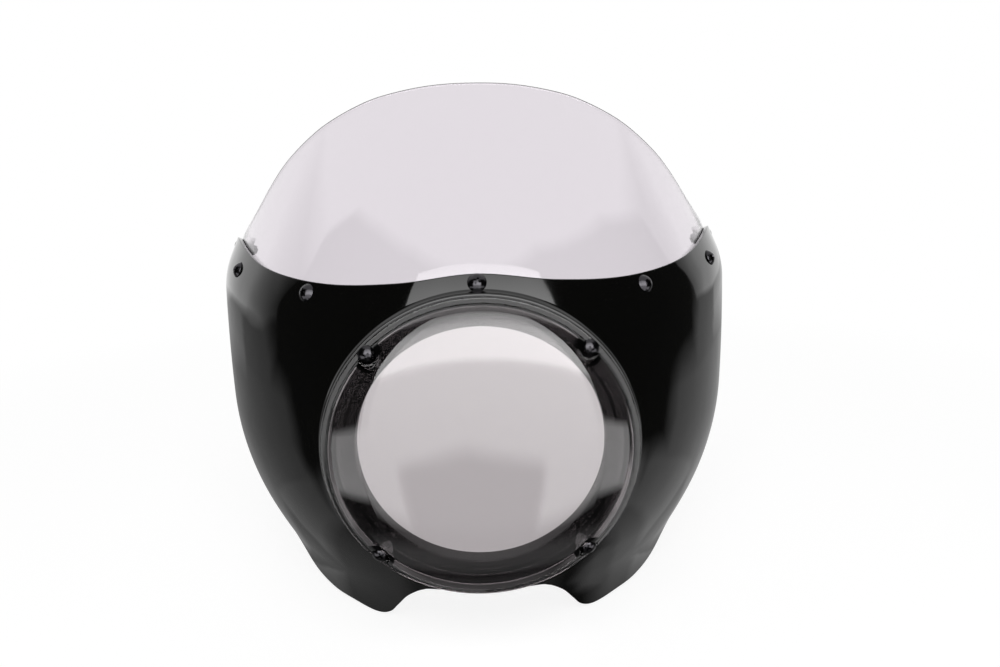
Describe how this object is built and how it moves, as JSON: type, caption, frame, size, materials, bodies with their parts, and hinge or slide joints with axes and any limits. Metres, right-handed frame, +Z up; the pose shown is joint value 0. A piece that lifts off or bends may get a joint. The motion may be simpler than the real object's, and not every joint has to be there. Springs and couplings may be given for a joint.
{
  "type": "motorbike headlight cowl",
  "caption": "Cafe-style headlight cowl: a black moulded shell round a lamp opening, with a clear bubble windscreen and a clear domed lens, held by domed screws.",
  "frame": {"origin": "centre of the round lamp opening, on its front edge", "axes": "+Y runs back along the opening's axis, from the road ahead towards the rider; +X is to the right as seen from the front; +Z is up"},
  "size_m": [0.3954, 0.2405, 0.3509],
  "materials": {
    "shell_black": "high-gloss black moulded ABS",
    "screen_clear": "clear polycarbonate with a faint grey tint, polished",
    "lens_clear": "clear moulded polycarbonate, polished",
    "fastener_black": "black oxide steel"
  },
  "bodies": {
    "root": {"fairing_shell": "shell_black", "windscreen": "screen_clear", "headlight_lens": "lens_clear", "screen_screw_1": "fastener_black", "screen_screw_2": "fastener_black", "screen_screw_3": "fastener_black", "screen_screw_4": "fastener_black", "screen_screw_5": "fastener_black", "screen_screw_6": "fastener_black", "screen_screw_7": "fastener_black", "screen_washer_1": "fastener_black", "screen_washer_2": "fastener_black", "screen_washer_3": "fastener_black", "screen_washer_4": "fastener_black", "screen_washer_5": "fastener_black", "screen_washer_6": "fastener_black", "screen_washer_7": "fastener_black", "screen_nut_1": "fastener_black", "screen_nut_2": "fastener_black", "screen_nut_3": "fastener_black", "screen_nut_4": "fastener_black", "screen_nut_5": "fastener_black", "screen_nut_6": "fastener_black", "screen_nut_7": "fastener_black", "lens_screw_1": "fastener_black", "lens_screw_2": "fastener_black", "lens_screw_3": "fastener_black", "lens_screw_4": "fastener_black", "lens_washer_1": "fastener_black", "lens_washer_2": "fastener_black", "lens_washer_3": "fastener_black", "lens_washer_4": "fastener_black", "lens_nut_1": "fastener_black", "lens_nut_2": "fastener_black", "lens_nut_3": "fastener_black", "lens_nut_4": "fastener_black"}
  },
  "joints": []
}
